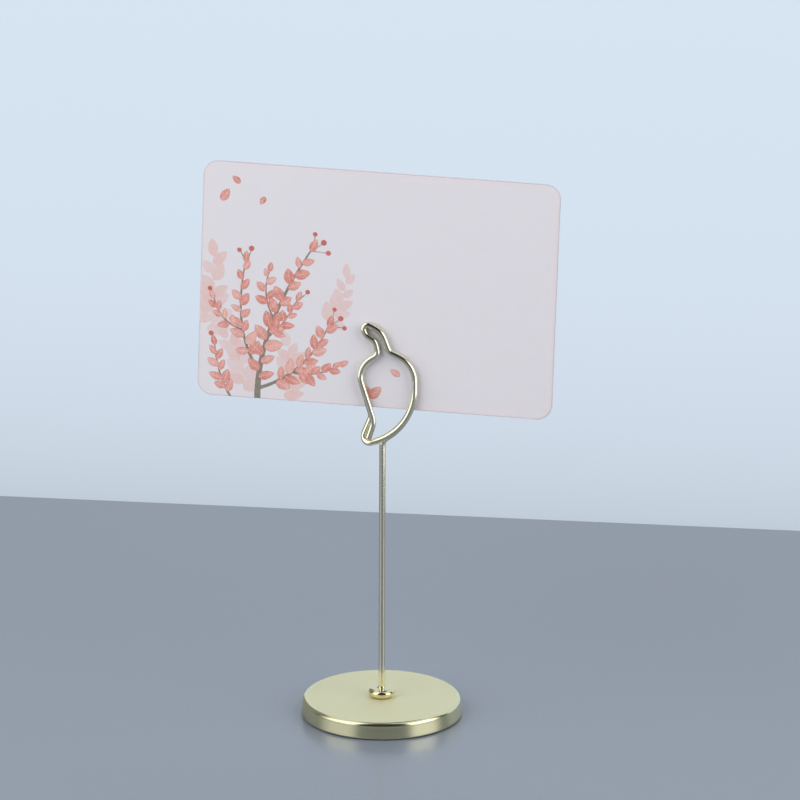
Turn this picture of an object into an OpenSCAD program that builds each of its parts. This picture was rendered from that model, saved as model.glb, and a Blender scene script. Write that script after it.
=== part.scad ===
// Place card holder: a wire clip bent to the outline of a chilli pepper, on a weighted round base.
// Millimetres, +Z up. The origin is on the table at the centre of the base, and the front of the
// card faces -Y.

/* [Base] */
// Diameter of the base at its rim
base_d = 40; // [32:1:60]
// Height of the base's top above the table
base_h = 4.4; // [4.2:0.1:8]
// Thickness of the stamped cover
cover_t = 0.8; // [0.5:0.05:0.9]
// Outer radius of the cover's shoulder
shoulder_r = 1; // [0.8:0.05:1.5]
// How far the cover's wall leans outwards from the shoulder to the rim
rim_flare = 0.3; // [0:0.05:0.6]
// Thickness of the soft pad under the base
pad_t = 0.8; // [0.6:0.05:0.9]
// How far the pad stands out below the cover's rim
pad_proud = 0.3; // [0.1:0.05:0.4]
// Gap round the weight and the pad, inside the cover
cover_gap = 0.2; // [0.1:0.05:0.5]

/* [Fixing] */
// Diameter of the collar round the foot of the wire
collar_d = 6.6; // [5.6:0.1:9]
// Height of the collar above the base
collar_h = 2.3; // [1.8:0.1:3]
// Height of the small neck on the collar, where the wire comes out
neck_h = 0.3; // [0.1:0.05:0.6]
// Outer diameter of the collar's threaded shank
shank_d = 3; // [2.6:0.1:3.4]
// Thickness of the weight where the washer clamps it
web_t = 0.7; // [0.5:0.05:0.8]
// Diameter of the washer
washer_d = 7; // [6.5:0.1:8]
// Thickness of the washer
washer_t = 0.4; // [0.3:0.05:0.5]
// Width of the nut across its flats
nut_af = 5.5; // [5:0.1:6]
// Thickness of the nut
nut_t = 1.4; // [1:0.1:1.5]

/* [Wire clip] */
// Diameter of the wire
wire_d = 1.6; // [1.3:0.05:1.7]
// Height of the pepper's tip above the table, at the middle of the wire
clip_z = 71.3; // [40:1:120]
// Height of the pepper, between the middles of the wire
clip_h = 30.8; // [30:0.2:45]
// How far the back turn hangs below the front turn
turn_drop = 0.8; // [0.5:0.05:1]
// How far the back turn lies to the left of the front turn
turn_shift = 0.3; // [0:0.05:0.4]
// Gap between the card and each turn of the wire
grip_gap = 0.1; // [0.06:0.01:0.2]

/* [Card] */
// Width of the card
card_w = 88; // [60:1:110]
// Height of the card
card_h = 60.5; // [40:0.5:90]
// Thickness of the card
card_t = 0.35; // [0.25:0.05:0.5]
// Radius of the card's corners
card_corner_r = 3.8; // [2:0.1:8]
// Tilt of the card, clockwise as seen from the front
card_tilt = 1.8; // [0:0.1:3]
// How deep the card's lower edge stands below the top of the pepper
card_depth = 21.6; // [18:0.1:24]
// How far the middle of the card lies to the left of the stem
card_shift = 1; // [-10:0.1:10]

/* [Hidden] */

$fn = 64;
// Room left on each side round a piece that is fixed in its hole, and round one that passes through
snug_fit = 0.02;
loose_fit = 0.15;
// How far a cut runs past the face that it has to clear
overrun = 0.5;

// Heights in the base, from the table up
weight_top = base_h - cover_t;
web_bottom = weight_top - web_t;
washer_bottom = web_bottom - washer_t;
nut_bottom = washer_bottom - nut_t;

// Radii in the base. The cover's wall is measured at the shoulder and at the rim
rim_r = base_d / 2;
wall_r = rim_r - rim_flare;
inner_corner_r = shoulder_r / 2;
weight_r = wall_r - cover_t - inner_corner_r - cover_gap;
pad_r = wall_r - cover_t - cover_gap;
wire_r = wire_d / 2;
shank_hole_r = shank_d / 2 + loose_fit;
recess_r = washer_d / 2 + 3 * loose_fit;

// The collar's profile: its foot and its top as shares of its radius, the height of its widest ring
// as a share of its own height, and its neck as shares of the wire's radius
collar_foot_share = 0.58;
collar_top_share = 0.55;
collar_belly_share = 0.56;
neck_foot_share = 1.9;
neck_top_share = 1.25;

// The front turn stands one wire and the card's slot in front of the back turn, and the card
// stands midway between them
front_y = -(wire_d + card_t + 2 * grip_gap);
card_y = front_y / 2;

// The pepper's outline. Each row is a corner of the wire's middle line before it is rounded: its
// distance to the right of the stem, its height above the pepper's tip and its bend radius, all as
// shares of the pepper's height.
// Right belly of the back turn and of the front turn
back_belly_share = [0.256, 0.200, 0.480];
front_belly_share = [0.266, 0.126, 0.482];
// Right shoulder, foot of the stalk, the stalk's bend, its end and its underside, the neck and the
// left shoulder, which both turns follow
upper_shares = [
    [0.266, 0.687, 0.227],
    [0.062, 0.777, 0.034],
    [-0.002, 0.947, 0.162],
    [-0.184, 1.040, 0.036],
    [-0.129, 0.912, 0.049],
    [-0.053, 0.865, 0.081],
    [-0.027, 0.753, 0.052],
    [-0.203, 0.636, 0.179],
];
// Waist of the back turn, the left and the lower side of the tip, and the waist of the front turn
back_waist_share = [-0.086, 0.212, 0.080];
tip_left_share = [-0.160, 0.028, 0.052];
tip_low_share = [-0.109, -0.003, 0.052];
front_waist_share = [-0.060, 0.185, 0.143];
// The wire's free end inside the tip
wire_end_share = [-0.105, 0.051];
// The stem's corner behind the belly: its height above the tip and its bend radius
stem_corner_share = [0.010, 0.062];
// How far forward the tip's left side and lower side stand, as shares of the way from the back turn
// to the front turn
tip_left_depth_share = 0.21;
tip_low_depth_share = 0.75;
wire_end_depth_share = 1;

// Sides of the swept wire, the largest step round a bend, how far a step may cut the corner as a
// share of the wire, and the swept wire's thickness as a share of the round stem that it grows out
// of, so that their surfaces never coincide
wire_sides = 16;
bend_step = 15;
bend_sag_share = 0.02;
sweep_share = 0.998;

function unit(v) = v / norm(v);

// A corner of the wire: its place, and its bend radius. depth runs from 0 in the back turn to 1 in
// the front turn, and shift moves the corner sideways and up
function corner(row, depth, shift = [0, 0]) = [
    [row[0] * clip_h + shift[0], depth * front_y, row[1] * clip_h + clip_z + shift[1]],
    row[2] * clip_h
];

// Stations, each a point and a direction, round the bend at corner q between points p and s
function bend(p, q, s, r) =
    let (
        back = unit(p - q),
        ahead = unit(s - q),
        turn = 180 - acos(back * ahead),
        centre = q + unit(back + ahead) * r / cos(turn / 2),
        out = unit(q + back * r * tan(turn / 2) - centre),
        steps = ceil(turn / min(bend_step, 2 * acos(1 - wire_d * bend_sag_share / r)))
    )
    [for (i = [0:steps])
        let (a = turn * i / steps)
        [centre + r * (cos(a) * out - sin(a) * back), -sin(a) * out - cos(a) * back]];

// Stations along a whole wire whose corners are given as points and bend radii
function wire_path(corners) =
    let (last = len(corners) - 1)
    [
        [corners[0][0], unit(corners[1][0] - corners[0][0])],
        for (i = [1:last - 1])
            each bend(corners[i - 1][0], corners[i][0], corners[i + 1][0], corners[i][1]),
        [corners[last][0], unit(corners[last][0] - corners[last - 1][0])],
    ];

// The stem stays round up to its first bend, and the swept wire starts a little inside it
back_shift = [-turn_shift, -turn_drop];
stem_corner = corner([0, stem_corner_share[0], stem_corner_share[1]], 0);
first_leg = corner(back_belly_share, 0, back_shift)[0] - stem_corner[0];
stem_turn = atan2(first_leg[0], first_leg[2]);
stem_top = stem_corner[0][2] - stem_corner[1] * tan(stem_turn / 2);
sweep_start = [[0, 0, stem_top - wire_d], 0];

clip_path = wire_path([
    sweep_start,
    stem_corner,
    corner(back_belly_share, 0, back_shift),
    for (row = upper_shares) corner(row, 0, back_shift),
    corner(back_waist_share, 0),
    corner(tip_left_share, tip_left_depth_share),
    corner(tip_low_share, tip_low_depth_share),
    corner(front_belly_share, 1),
    for (row = upper_shares) corner(row, 1),
    corner(front_waist_share, 1),
    corner([wire_end_share[0], wire_end_share[1], 0], wire_end_depth_share),
]);

// A round bar of radius r along a path of stations, as one closed skin
module sweep(path, r, sides) {
    rings = len(path);
    points = [
        for (station = path)
            let (side = unit(cross([0, 1, 0], station[1])), up = cross(station[1], side))
            for (k = [0:sides - 1])
                station[0] + r * (cos(360 * k / sides) * side + sin(360 * k / sides) * up)
    ];
    skin = [
        for (i = [0:rings - 2], k = [0:sides - 1])
            let (a = i * sides + k, b = i * sides + (k + 1) % sides)
            each [[a, a + sides, b], [b, a + sides, b + sides]]
    ];
    first = [for (k = [0:sides - 1]) k];
    last = [for (k = [sides - 1:-1:0]) (rings - 1) * sides + k];
    polyhedron(points = points, faces = concat(skin, [first, last]));
}

// Points on an arc round c from angle a0 to a1, with radius r[0] across and r[1] up
function arc(c, r, a0, a1, steps = 8) =
    [for (i = [0:steps]) let (a = a0 + (a1 - a0) * i / steps) [c[0] + r[0] * cos(a), c[1] + r[1] * sin(a)]];

// A round plate or ring, standing on height z
module ring(outer_r, hole_r, z, h) {
    translate([0, 0, z])
        difference() {
            cylinder(r = outer_r, h = h);
            translate([0, 0, -overrun]) cylinder(r = hole_r, h = h + 2 * overrun);
        }
}

// The card: a plain rounded sheet, pushed down between the two turns of the wire
module place_card() {
    color("mistyrose")
        translate([-card_shift, card_y, clip_z + clip_h - card_depth + card_h / 2])
            rotate([90, card_tilt, 0])
                linear_extrude(card_t, center = true) {
                    square([card_w - 2 * card_corner_r, card_h], center = true);
                    square([card_w, card_h - 2 * card_corner_r], center = true);
                    for (x = [-1, 1], z = [-1, 1])
                        translate([x * (card_w / 2 - card_corner_r), z * (card_h / 2 - card_corner_r)])
                            circle(r = card_corner_r);
                }
}

// The wire: a straight stem that runs on into two turns of the pepper's outline
module clip_stem() {
    color("palegoldenrod") {
        translate([0, 0, nut_bottom]) cylinder(r = wire_r, h = stem_top - nut_bottom);
        sweep(clip_path, wire_r * sweep_share, wire_sides);
    }
}

// The collar: a rounded head on the base, with a shank that the nut pulls down
module collar() {
    collar_r = collar_d / 2;
    collar_top = base_h + collar_h;
    belly_z = base_h + collar_h * collar_belly_share;
    foot_r = collar_r * collar_foot_share;
    top_r = collar_r * collar_top_share;
    neck_r = wire_r * neck_top_share;
    neck_foot_r = wire_r * neck_foot_share;
    bore_r = wire_r + snug_fit;
    color("khaki")
        rotate_extrude()
            polygon(concat(
                [[bore_r, nut_bottom], [shank_d / 2, nut_bottom], [shank_d / 2, base_h]],
                arc([foot_r, belly_z], [collar_r - foot_r, belly_z - base_h], -90, 0),
                arc([top_r, belly_z], [collar_r - top_r, collar_top - belly_z], 0, 90),
                arc([neck_foot_r, collar_top + neck_h], [neck_foot_r - neck_r, neck_h], 270, 180),
                [[bore_r, collar_top + neck_h]]
            ));
}

// The cover: a pressed cup over the weight, open below
module base_cover() {
    color("khaki")
        rotate_extrude()
            polygon(concat(
                [[rim_r - cover_t, pad_proud], [rim_r, pad_proud]],
                arc([wall_r - shoulder_r, base_h - shoulder_r], [shoulder_r, shoulder_r], 0, 90),
                [[shank_hole_r, base_h], [shank_hole_r, weight_top]],
                arc(
                    [wall_r - cover_t - inner_corner_r, weight_top - inner_corner_r],
                    [inner_corner_r, inner_corner_r], 90, 0
                )
            ));
}

// The weight: a solid disc with a recess below for the washer and the nut
module base_weight() {
    color("dimgray")
        difference() {
            ring(weight_r, shank_hole_r, pad_t, weight_top - pad_t);
            translate([0, 0, pad_t - overrun]) cylinder(r = recess_r, h = web_bottom - pad_t + overrun);
        }
}

module stem_washer() {
    color("silver") ring(washer_d / 2, shank_hole_r, washer_bottom, washer_t);
}

module stem_nut() {
    color("silver")
        translate([0, 0, nut_bottom])
            difference() {
                cylinder(r = nut_af / sqrt(3), h = nut_t, $fn = 6);
                translate([0, 0, -overrun]) cylinder(r = shank_d / 2 + snug_fit, h = nut_t + 2 * overrun);
            }
}

// The soft pad that closes the base and stands on the table
module base_pad() {
    color("darkslategray") cylinder(r = pad_r, h = pad_t);
}

place_card();
clip_stem();
collar();
base_cover();
base_weight();
stem_washer();
stem_nut();
base_pad();
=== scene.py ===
# %% [markdown]
# # A place card holder
#
# A card of thick paper stands between two turns of one bent wire. The wire rises from a small
# collar on a round, weighted base, and all the metal that shows is plated in a pale champagne gold.
#
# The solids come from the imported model. They fix every place and size, so this lesson only makes
# finer skins over them, gives each one its finish, and lights the set like a small product table.

import bpy
import numpy as np
from mathutils import Matrix, Vector


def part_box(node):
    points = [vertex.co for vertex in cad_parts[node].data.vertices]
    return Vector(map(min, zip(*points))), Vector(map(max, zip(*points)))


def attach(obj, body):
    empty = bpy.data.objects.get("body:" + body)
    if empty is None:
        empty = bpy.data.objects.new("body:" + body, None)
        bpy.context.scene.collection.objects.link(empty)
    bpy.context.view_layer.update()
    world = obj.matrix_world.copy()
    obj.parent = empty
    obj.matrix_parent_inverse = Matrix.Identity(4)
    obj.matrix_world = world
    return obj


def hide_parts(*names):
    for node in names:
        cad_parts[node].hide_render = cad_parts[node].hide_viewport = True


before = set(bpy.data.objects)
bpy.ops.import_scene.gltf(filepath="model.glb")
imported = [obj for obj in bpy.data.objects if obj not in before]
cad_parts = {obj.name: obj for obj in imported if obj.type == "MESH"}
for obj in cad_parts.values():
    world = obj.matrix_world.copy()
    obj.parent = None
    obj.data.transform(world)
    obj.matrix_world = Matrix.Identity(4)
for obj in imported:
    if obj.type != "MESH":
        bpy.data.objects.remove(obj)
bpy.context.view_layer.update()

MM = 0.001
for node_name in sorted(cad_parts):
    low, high = ([round(v / MM, 2) for v in corner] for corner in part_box(node_name))
    print(node_name, "from", low, "to", high, "mm")

# %% [markdown]
# ## Working helpers
#
# Colours are picked as the eye reads them, in sRGB, while the renderer adds up light, so each hex
# value is made linear once. Every finish is a small tree of nodes, and one function adds a node.

# %% Colours and nodes
def linear(hex_colour):
    """An sRGB hex colour as linear RGBA: c / 12.92 below 0.04045, else ((c + 0.055) / 1.055) ^ 2.4."""
    c = np.array([int(hex_colour[i:i + 2], 16) for i in (1, 3, 5)]) / 255
    c = np.where(c <= 0.04045, c / 12.92, ((c + 0.055) / 1.055) ** 2.4)
    return (*c.tolist(), 1.0)


def add(tree, kind, sockets=None, **settings):
    """Adds a node of that kind. settings are its own options. sockets gives each input, by name or
    number, a constant, an output to link, or a node whose first live output is linked."""
    made = tree.nodes.new("ShaderNode" + kind)
    for option, value in settings.items():
        setattr(made, option, value)
    for socket, value in (sockets or {}).items():
        if isinstance(value, bpy.types.Node):
            value = next(output for output in value.outputs if output.enabled)
        if isinstance(value, bpy.types.NodeSocket):
            tree.links.new(value, made.inputs[socket])
        else:
            made.inputs[socket].default_value = value
    return made


def new_finish(name):
    """A material with an empty tree, and that tree."""
    material = bpy.data.materials.new(name)
    material.use_nodes = True
    material.node_tree.nodes.clear()
    print("finish", name)
    return material, material.node_tree


def surface(tree, shader):
    """Ends a tree in its output."""
    add(tree, "OutputMaterial", {"Surface": shader})
    print("  in", len(tree.nodes), "nodes")


# %% [markdown]
# ## Skins
#
# A skin is a grid of points: rows along one parameter and columns along the other. The grid is
# worked out as one array, and its faces are one array too. Where the last column meets the first,
# the grid wraps round, so that a tube or a turned part has no seam. A pole closes an open end.

# %% A grid of points becomes a mesh
def grid_faces(rows, cols, wrap_rows=False, wrap_cols=False):
    """Quads of a grid whose point (i, j) has number i * cols + j, facing rows x columns."""
    i = np.arange(rows if wrap_rows else rows - 1)[:, None]
    j = np.arange(cols if wrap_cols else cols - 1)[None, :]
    ni, nj = (i + 1) % rows, (j + 1) % cols
    quads = np.broadcast_arrays(i * cols + j, ni * cols + j, ni * cols + nj, i * cols + nj)
    return np.stack(quads, -1).reshape(-1, 4)


def make_piece(name, points, faces, attributes=None, sharp_deg=40):
    """Puts points (n, 3) in millimetres and a list of face arrays into a mesh, shades it smooth except
    at edges sharper than sharp_deg, and stores each array of attributes on its points."""
    mesh = bpy.data.meshes.new(name)
    corners = np.concatenate([f.ravel() for f in faces])
    sizes = np.concatenate([np.full(len(f), f.shape[1]) for f in faces])
    mesh.vertices.add(len(points))
    mesh.vertices.foreach_set("co", (np.asarray(points) * MM).astype(np.float32).ravel())
    mesh.loops.add(len(corners))
    mesh.loops.foreach_set("vertex_index", corners.astype(np.int32))
    mesh.polygons.add(len(sizes))
    mesh.polygons.foreach_set("loop_start", (np.cumsum(sizes) - sizes).astype(np.int32))
    mesh.update(calc_edges=True)
    mesh.validate()
    mesh.shade_smooth()
    mesh.set_sharp_from_angle(angle=np.radians(sharp_deg))
    for key, values in (attributes or {}).items():
        values = np.asarray(values, np.float32)
        vector = values.ndim == 2
        stored = mesh.attributes.new(key, "FLOAT_VECTOR" if vector else "FLOAT", "POINT")
        stored.data.foreach_set("vector" if vector else "value", values.ravel())
    piece = bpy.data.objects.new(name, mesh)
    bpy.context.scene.collection.objects.link(piece)
    print(name, len(points), "points,", len(sizes), "faces")
    return piece


# %% [markdown]
# ## The camera
#
# The photograph was taken with a long lens from a little above and a little to the right. The
# camera's place was worked out from the corners of the card and the rings of the base, so the
# object falls on the same pixels as in the photograph.

# %% Camera at the photograph's angle
CAMERA_TURN, CAMERA_RISE, CAMERA_ROLL = np.radians([7.633, 18.498, 0.199])
CAMERA_FAR = 2.290
CAMERA_AIM = np.array([4.327, 0, 82.25]) * MM
PHOTO_PIXELS, PIXELS_PER_MM = 800, 4.065
FOCAL_PIXELS = PIXELS_PER_MM * CAMERA_FAR / MM
SENSOR_MM = 36

camera_back = np.array([
    np.sin(CAMERA_TURN) * np.cos(CAMERA_RISE),
    -np.cos(CAMERA_TURN) * np.cos(CAMERA_RISE),
    np.sin(CAMERA_RISE),
])
level_right = np.cross([0, 0, 1], camera_back)
level_right /= np.linalg.norm(level_right)
level_up = np.cross(camera_back, level_right)
camera_right = np.cos(CAMERA_ROLL) * level_right + np.sin(CAMERA_ROLL) * level_up
camera_up = -np.sin(CAMERA_ROLL) * level_right + np.cos(CAMERA_ROLL) * level_up
camera_place = CAMERA_AIM + camera_back * CAMERA_FAR

camera_data = bpy.data.cameras.new("photo_camera")
camera_data.sensor_width = SENSOR_MM
camera_data.lens = FOCAL_PIXELS / PHOTO_PIXELS * SENSOR_MM
camera_data.clip_start, camera_data.clip_end = 0.1, 30
camera = bpy.data.objects.new("photo_camera", camera_data)
camera.matrix_world = Matrix([
    [camera_right[k], camera_up[k], camera_back[k], camera_place[k]] for k in range(3)
] + [[0, 0, 0, 1]])
bpy.context.scene.collection.objects.link(camera)
bpy.context.scene.camera = camera


def on_table(pixel):
    """The point of the table top, z = 0, that a pixel of the photograph shows."""
    across, up = pixel[0] - PHOTO_PIXELS / 2, PHOTO_PIXELS / 2 - pixel[1]
    ray = (across * camera_right + up * camera_up) / FOCAL_PIXELS - camera_back
    return camera_place - ray * camera_place[2] / ray[2]


print("lens", round(camera_data.lens, 1), "mm, camera", round(CAMERA_FAR, 2), "m away")

# %% [markdown]
# ## The wire clip
#
# On the real holder this is one length of hard steel wire, 1.6 mm thick. It runs straight up, and is
# then bent round pins through two turns of a chilli pepper's outline. The back turn lies behind the
# card and the front turn in front of it, and the wire's free end stops inside the pepper's tip.
#
# The middle line is given by its corners and bend radii, as a bender would note them down. Each
# corner is rounded by an arc, the line is walked in equal steps, and the walk is eased a little,
# because real wire goes into a bend gradually. A circle is then carried along it.

# %% The wire's corners
WIRE_R = 0.8
PEPPER_Z, PEPPER_H = 71.3, 30.8
FRONT_Y = -2.15
# The back turn lies a little to the left of the front one, and lower
BACK_SHIFT = np.array([-0.3, -0.8])
WIRE_FOOT_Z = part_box("clip_stem")[0].z / MM

# Each row: right of the stem, above the tip, bend radius, as shares of the pepper's height
UPPER = np.array([
    [0.266, 0.687, 0.227], [0.062, 0.777, 0.034], [-0.002, 0.947, 0.162], [-0.184, 1.040, 0.036],
    [-0.129, 0.912, 0.049], [-0.053, 0.865, 0.081], [-0.027, 0.753, 0.052], [-0.203, 0.636, 0.179],
])


def wire_corners(rows, depth, shift=(0, 0)):
    """Rows of shares as corners in millimetres: x, y, z, bend radius. depth is 0 for the back turn
    and 1 for the front turn."""
    rows = np.atleast_2d(rows)
    x = rows[:, 0] * PEPPER_H + shift[0]
    z = rows[:, 1] * PEPPER_H + PEPPER_Z + shift[1]
    return np.column_stack([x, np.full(len(rows), depth * FRONT_Y), z, rows[:, 2] * PEPPER_H])


CORNERS = np.concatenate([
    [[0, 0, WIRE_FOOT_Z, 0]],
    wire_corners([0, 0.010, 0.062], 0),
    wire_corners([0.256, 0.200, 0.480], 0, BACK_SHIFT),
    wire_corners(UPPER, 0, BACK_SHIFT),
    wire_corners([-0.086, 0.212, 0.080], 0),
    # Low in the tip, two bends bring the wire forward under the card
    wire_corners([-0.160, 0.028, 0.052], 0.21),
    wire_corners([-0.109, -0.003, 0.052], 0.83),
    wire_corners([0.266, 0.126, 0.482], 1),
    wire_corners(UPPER, 1),
    wire_corners([-0.060, 0.185, 0.143], 1),
    wire_corners([-0.108, 0.038, 0], 1),
])
print(len(CORNERS), "corners of the wire")


# %% The wire's middle line
ARC_POINTS = 60


def rounded_line(corners, step):
    """The line through the corners, each cut off by an arc of its radius r that touches both legs
    r tan(turn / 2) from the corner, as points step apart."""
    points = [corners[:1, :3]]
    for p, q, s in zip(corners[:-2], corners[1:-1], corners[2:]):
        back, ahead = p[:3] - q[:3], s[:3] - q[:3]
        back, ahead = back / np.linalg.norm(back), ahead / np.linalg.norm(ahead)
        turn = np.pi - np.arccos(back @ ahead)
        middle = back + ahead
        centre = q[:3] + middle / np.linalg.norm(middle) * q[3] / np.cos(turn / 2)
        out = q[:3] + back * q[3] * np.tan(turn / 2) - centre
        a = np.linspace(0, turn, ARC_POINTS)[:, None]
        points.append(centre + np.cos(a) * out - np.sin(a) * back * q[3])
    line = np.concatenate(points + [corners[-1:, :3]])
    walked = np.concatenate([[0], np.cumsum(np.linalg.norm(np.diff(line, axis=0), axis=1))])
    at = np.linspace(0, walked[-1], int(walked[-1] / step) + 1)
    return np.column_stack([np.interp(at, walked, line[:, k]) for k in range(3)])


def eased(line, reach):
    """The line with each point moved to the bell-weighted mean of its neighbours, reach steps wide."""
    pad = 4 * reach
    k = np.arange(1, pad + 1)[:, None]
    before = (line[0] + (line[0] - line[1]) * k)[::-1]
    after = line[-1] + (line[-1] - line[-2]) * k
    long_line = np.concatenate([before, line, after])
    weights = np.exp(-0.5 * (np.arange(-pad, pad + 1) / reach) ** 2)
    weights /= weights.sum()
    return np.column_stack([np.convolve(long_line[:, c], weights, "valid") for c in range(3)])


WIRE_STEP, EASE_STEPS = 0.12, 3
wire_line = eased(rounded_line(CORNERS, WIRE_STEP), EASE_STEPS)
print("wire", round(len(wire_line) * WIRE_STEP), "mm long in", len(wire_line), "stations")


# %% The wire's skin
def carried_circle(line, radii, sides):
    """Rings round the line: point = line + r (cos a * side + sin a * up), where side is square to the
    line and to the y axis. Also each of these points as it lay before bending, for the finish."""
    ahead = np.gradient(line, axis=0)
    ahead /= np.linalg.norm(ahead, axis=1)[:, None]
    side = np.cross([0, 1, 0], ahead)
    side /= np.linalg.norm(side, axis=1)[:, None]
    up = np.cross(ahead, side)
    a = np.linspace(0, 2 * np.pi, sides, endpoint=False)[None, :, None]
    rings = line[:, None] + radii[:, None, None] * (np.cos(a) * side[:, None] + np.sin(a) * up[:, None])
    along = np.concatenate([[0], np.cumsum(np.linalg.norm(np.diff(line, axis=0), axis=1))])
    unbent = np.concatenate([
        radii[:, None, None] * np.concatenate([np.cos(a), np.sin(a)], -1),
        np.broadcast_to(along[:, None, None], (len(line), sides, 1)),
    ], -1)
    return rings.reshape(-1, 3), unbent.reshape(-1, 3)


# The cut ends are tumbled: over the last 0.35 mm they round off, and lose 0.55 of their section
WIRE_SIDES, END_ROUND, END_LOSS = 28, 0.35, 0.55
along_wire = np.arange(len(wire_line)) * WIRE_STEP
to_end = np.minimum(along_wire, along_wire[-1] - along_wire)
wire_radii = WIRE_R * np.sqrt(1 - END_LOSS * np.clip(1 - to_end / END_ROUND, 0, 1) ** 2)
wire_points, unbent_points = carried_circle(wire_line, wire_radii, WIRE_SIDES)
# Each end is closed by a fan of triangles round one more point
poles = len(wire_points) + np.array([0, 1])
first_ring, last_ring = np.arange(WIRE_SIDES), poles[0] - WIRE_SIDES + np.arange(WIRE_SIDES)
end_fans = np.concatenate([
    np.column_stack([np.roll(first_ring, -1), first_ring, np.full(WIRE_SIDES, poles[0])]),
    np.column_stack([last_ring, np.roll(last_ring, -1), np.full(WIRE_SIDES, poles[1])]),
])
wire_clip = make_piece(
    "wire_clip",
    np.concatenate([wire_points, wire_line[[0, -1]]]),
    [grid_faces(len(wire_line), WIRE_SIDES, wrap_cols=True)[:, ::-1], end_fans],
    {"straight": np.concatenate([unbent_points, [[0, 0, 0], [0, 0, along_wire[-1]]]])},
)
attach(wire_clip, "holder")
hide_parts("clip_stem")

# %% [markdown]
# ## The base and the collar
#
# The base's cover is pressed from thin steel sheet over a die: a flat top, a tight round shoulder
# and a wall that leans out a little to a trimmed rim. The collar is turned from bar on a lathe,
# with a rounded head and a small neck where the wire comes out. Both are round about the stem, so a
# closed outline of radius and height, carried round the axis, gives each of them whole.

# %% Turned and pressed parts
def arc(centre, radii, start, end, steps=16):
    """Points of an outline on an ellipse's arc: centre + (r0 cos a, r1 sin a), angles in degrees."""
    a = np.radians(np.linspace(start, end, steps + 1))
    return np.column_stack([centre[0] + radii[0] * np.cos(a), centre[1] + radii[1] * np.sin(a)])


def straight(start, end, steps=1):
    """Points of an outline on a straight line, without its ends."""
    t = np.linspace(0, 1, steps + 2)[1:-1, None]
    return np.asarray(start) + t * (np.asarray(end) - np.asarray(start))


def carried_round(name, outline, sides, **attributes):
    """A closed outline (radius, height), counter-clockwise, carried round the z axis:
    point = (r cos a, r sin a, h)."""
    a = np.linspace(0, 2 * np.pi, sides, endpoint=False)[:, None]
    r, h = outline[:, 0][None], outline[:, 1][None]
    points = np.stack([r * np.cos(a), r * np.sin(a), np.broadcast_to(h, (sides, len(outline)))], -1)
    spread = {key: np.tile(values, sides) for key, values in attributes.items()}
    faces = grid_faces(sides, len(outline), wrap_rows=True, wrap_cols=True)
    return make_piece(name, points.reshape(-1, 3), [faces], spread, sharp_deg=50)


# %% The pressed cover of the base
cover_low, cover_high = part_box("base_cover")
RIM_R, BASE_H, RIM_Z = cover_high.x / MM, cover_high.z / MM, cover_low.z / MM
SHEET, WALL_LEAN, HOLE_R = 0.8, 0.3, 1.65
SHOULDER_R, INNER_R, RIM_EDGE = 1.0, 0.5, 0.2
COVER_SIDES, FLAT_WITHIN = 256, 0.004
WALL_R = RIM_R - WALL_LEAN
UNDER_R, UNDER_Z = WALL_R - SHEET - INNER_R, BASE_H - SHEET
cover_outline = np.concatenate([
    arc((RIM_R - SHEET / 2, RIM_Z + SHEET / 2), (SHEET / 2, SHEET / 2), 180, 270),
    arc((RIM_R - RIM_EDGE, RIM_Z + RIM_EDGE), (RIM_EDGE, RIM_EDGE), 270, 360),
    straight((RIM_R, RIM_Z + RIM_EDGE), (WALL_R, BASE_H - SHOULDER_R), 6),
    arc((WALL_R - SHOULDER_R, BASE_H - SHOULDER_R), (SHOULDER_R, SHOULDER_R), 0, 90, 28),
    straight((WALL_R - SHOULDER_R, BASE_H), (HOLE_R, BASE_H), 24),
    [[HOLE_R, BASE_H], [HOLE_R, UNDER_Z]],
    straight((HOLE_R, UNDER_Z), (UNDER_R, UNDER_Z), 6),
    arc((UNDER_R, UNDER_Z - INNER_R), (INNER_R, INNER_R), 90, 0, 10),
])
# 1 on the flat top, which is satin, and 0 elsewhere
flat_top = (np.abs(cover_outline[:, 1] - BASE_H) < FLAT_WITHIN).astype(float)
base_shell = carried_round("base_shell", cover_outline, COVER_SIDES, satin=flat_top)
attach(base_shell, "holder")
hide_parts("base_cover")

# %% The turned collar
collar_low, collar_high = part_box("collar")
COLLAR_R, NECK_Z, SHANK_FOOT = collar_high.x / MM, collar_high.z / MM, collar_low.z / MM
SHANK_R, BORE_R, COLLAR_SIDES = 1.5, WIRE_R + 0.02, 128
NECK_R, NECK_FLARE, NECK_H = 1.0, 0.52, 0.3
BEAD_TOP = NECK_Z - NECK_H
# The bead is widest a little above its middle, and is rounded over these widths below and above
BELLY_SHARE = 0.56
BELLY_Z = BASE_H + (BEAD_TOP - BASE_H) * BELLY_SHARE
BELOW_W, ABOVE_W = 0.42 * COLLAR_R, 0.45 * COLLAR_R
collar_outline = np.concatenate([
    [[BORE_R, SHANK_FOOT], [SHANK_R, SHANK_FOOT]],
    straight((SHANK_R, SHANK_FOOT), (SHANK_R, BASE_H), 4),
    [[SHANK_R, BASE_H]],
    arc((COLLAR_R - BELOW_W, BELLY_Z), (BELOW_W, BELLY_Z - BASE_H), -90, 0, 20),
    arc((COLLAR_R - ABOVE_W, BELLY_Z), (ABOVE_W, BEAD_TOP - BELLY_Z), 0, 90, 20)[1:],
    arc((NECK_R + NECK_FLARE, NECK_Z), (NECK_FLARE, NECK_H), 270, 180, 8),
    [[BORE_R, NECK_Z]],
    straight((BORE_R, NECK_Z), (BORE_R, SHANK_FOOT), 4),
])
foot_collar = carried_round("foot_collar", collar_outline, COLLAR_SIDES)
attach(foot_collar, "holder")
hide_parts("collar")

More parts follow.
